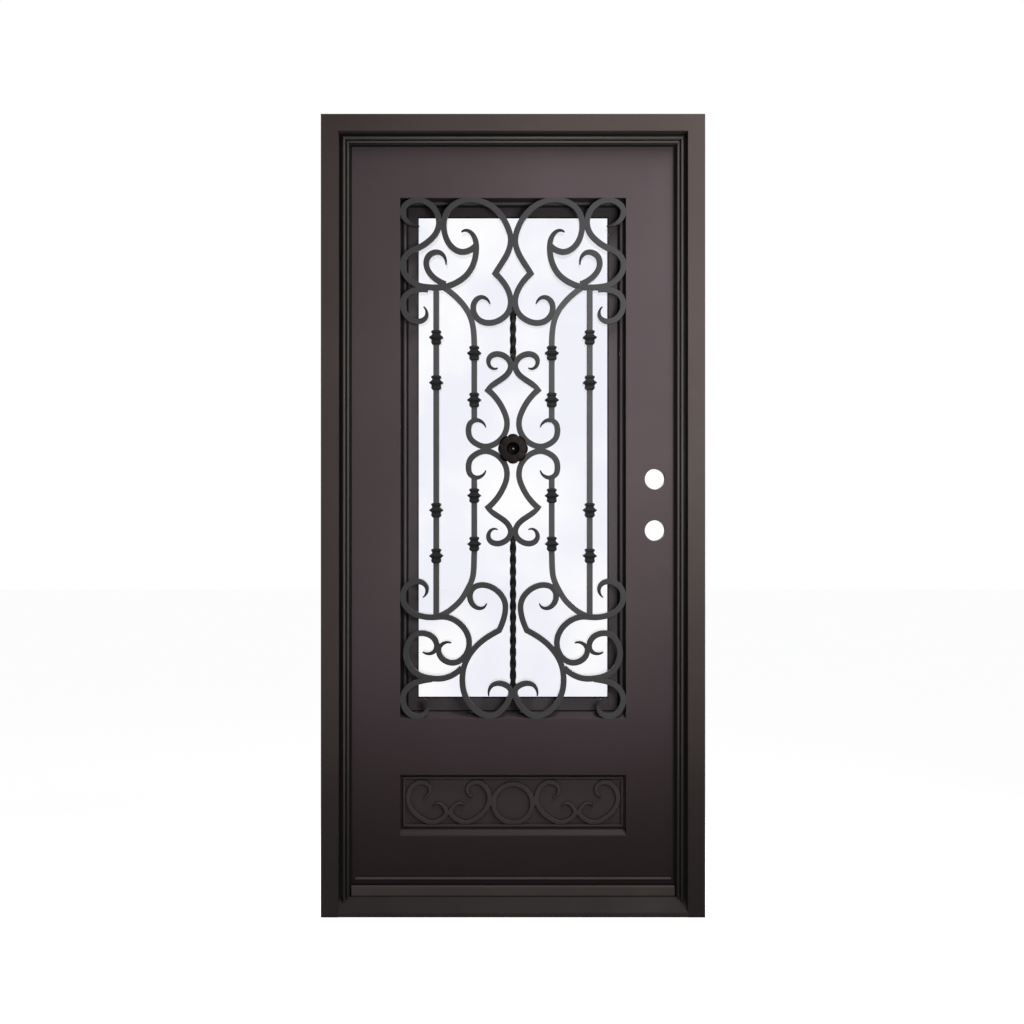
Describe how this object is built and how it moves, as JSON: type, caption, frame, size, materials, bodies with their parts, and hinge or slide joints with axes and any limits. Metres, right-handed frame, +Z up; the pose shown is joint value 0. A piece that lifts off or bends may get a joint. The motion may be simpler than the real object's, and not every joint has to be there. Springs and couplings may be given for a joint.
{
  "type": "prehung wrought iron entry door",
  "caption": "Single inward-opening iron entry door hung in its steel frame, with a glazed sash behind a scrolled grille and a scrolled lower panel.",
  "frame": {"origin": "middle of the frame's underside, at half the frame's depth", "axes": "+X to the right seen from outside, +Y into the house, +Z up"},
  "size_m": [0.99, 0.125, 2.07],
  "materials": {
    "painted_iron": "satin dark bronze paint",
    "forged_iron": "satin dark bronze paint on forged square bar",
    "cast_iron": "dark painted castings",
    "hinge_steel": "painted steel",
    "black_rubber": "black seal",
    "clear_glass": "lightly wavy double glazing"
  },
  "bodies": {
    "frame": {"hinge_jamb": "painted_iron", "strike_jamb": "painted_iron", "head_jamb": "painted_iron", "threshold": "painted_iron", "sill_saddle": "painted_iron", "hinge_side_stop": "painted_iron", "strike_side_stop": "painted_iron", "head_stop": "painted_iron", "weatherstrip": "black_rubber", "frame_hinges": "hinge_steel"},
    "leaf": {"front_skin": "painted_iron", "back_skin": "painted_iron", "hinge_stile": "painted_iron", "lock_stile": "painted_iron", "top_rail": "painted_iron", "middle_rail": "painted_iron", "bottom_rail": "painted_iron", "lock_box": "painted_iron", "glass_ledge": "painted_iron", "glass_surround": "painted_iron", "sash_stiles": "painted_iron", "sash_rails": "painted_iron", "sash_seal": "black_rubber", "glass": "clear_glass", "glazing_gasket": "black_rubber", "sash_hardware": "hinge_steel", "lower_panel": "painted_iron", "panel_surround": "painted_iron", "drip_strip": "painted_iron", "bottom_sweep": "black_rubber", "leaf_hinges": "hinge_steel", "corner_scrolls": "forged_iron", "branch_scrolls": "forged_iron", "side_curls": "forged_iron", "top_heart": "forged_iron", "centre_hearts": "forged_iron", "side_scrolls": "forged_iron", "bottom_heart": "forged_iron", "outer_scrolls": "forged_iron", "bottom_curls": "forged_iron", "upright_bars": "forged_iron", "bar_collars": "cast_iron", "twisted_bars": "forged_iron", "rosette": "cast_iron", "panel_ornament": "forged_iron"}
  },
  "joints": [
    {"name": "door_swing", "type": "hinge", "parent": "frame", "child": "leaf", "pos_m": [-0.43925, 0.0635, 1.04], "axis": [0, 0, 1], "range_deg": [0, 110]}
  ]
}
